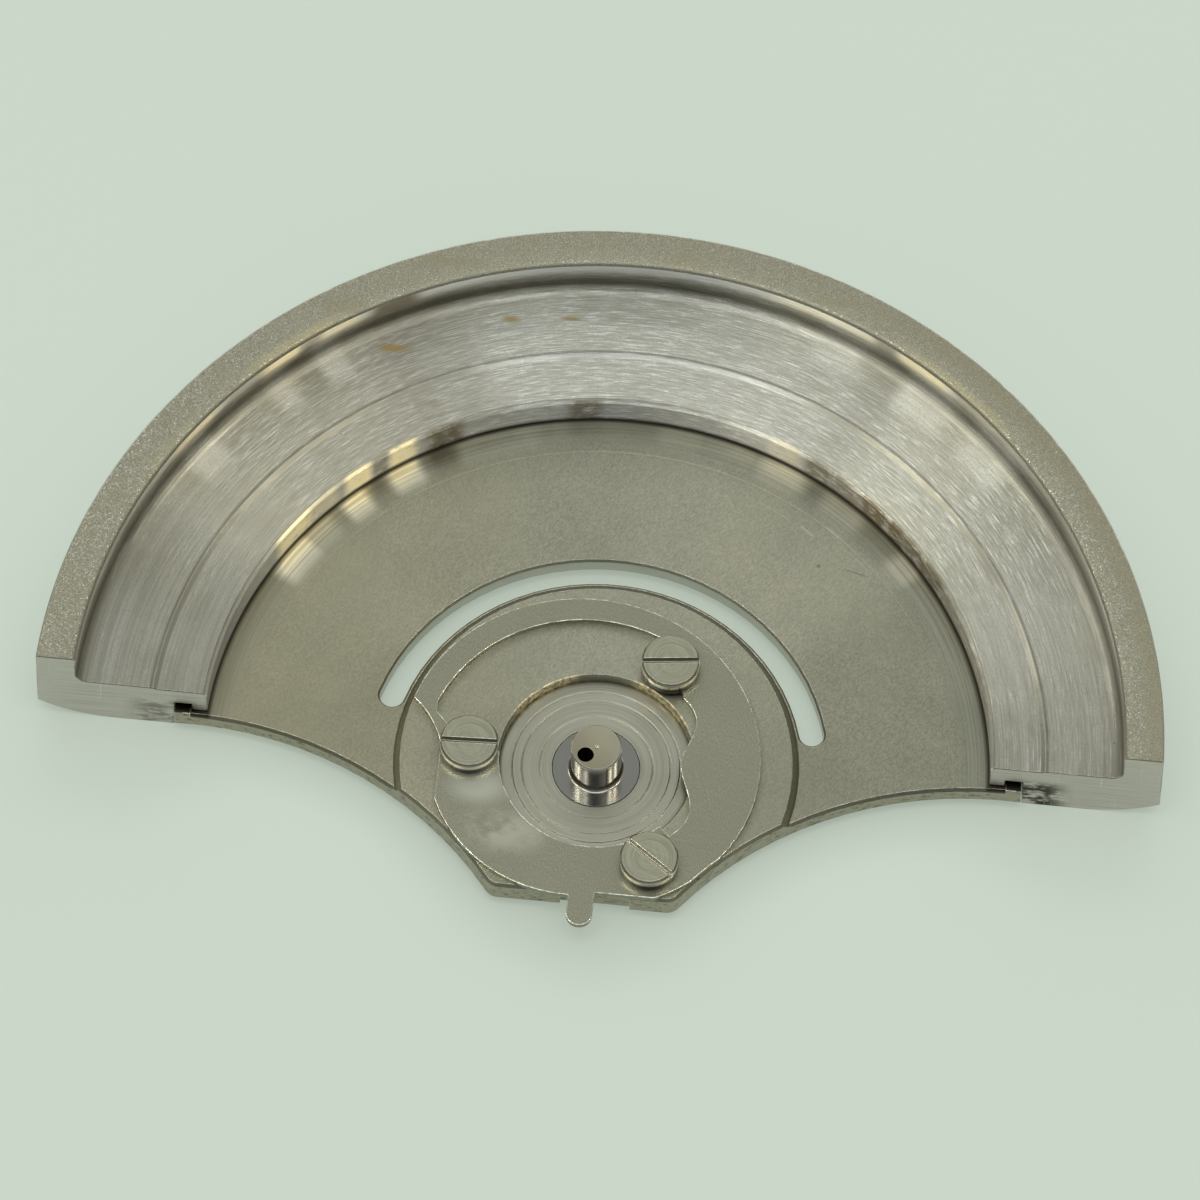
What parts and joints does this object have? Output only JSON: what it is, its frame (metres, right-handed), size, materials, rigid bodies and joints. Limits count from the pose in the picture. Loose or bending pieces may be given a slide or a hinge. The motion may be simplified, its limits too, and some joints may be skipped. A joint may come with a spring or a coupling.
{
  "type": "watch winding rotor",
  "caption": "Half-round winding rotor of a self-winding wristwatch: heavy rim weight on a thin plate, with axle, collar, slotted screws and a spring latch plate.",
  "frame": {"origin": "on the axle's axis, in the plane of the polished shoulder that the axle stands on", "axes": "+Z along the axle, away from the plate; +Y through the middle of the heavy half ring; +X to its right seen from the axle side"},
  "size_m": [0.026, 0.0173, 0.0027],
  "materials": {
    "weight_metal": "turned in rings, blasted rim",
    "plate_metal": "satin, fine straight grain",
    "collar_metal": "turned in fine rings",
    "axle_steel": "mirror polished",
    "latch_steel": "lapped satin",
    "screw_steel": "turned tops, polished edges"
  },
  "bodies": {
    "rotor": {"oscillating_weight": "weight_metal", "rotor_plate": "plate_metal", "axle_collar": "collar_metal", "axle": "axle_steel", "screw_left": "screw_steel", "screw_upper": "screw_steel", "screw_lower": "screw_steel"},
    "latch": {"latch_plate": "latch_steel"}
  },
  "joints": [
    {"name": "latch_turn", "type": "hinge", "parent": "rotor", "child": "latch", "pos_m": [0, 0, 0], "axis": [0, 0, 1], "range_deg": [0, 5.5]}
  ]
}
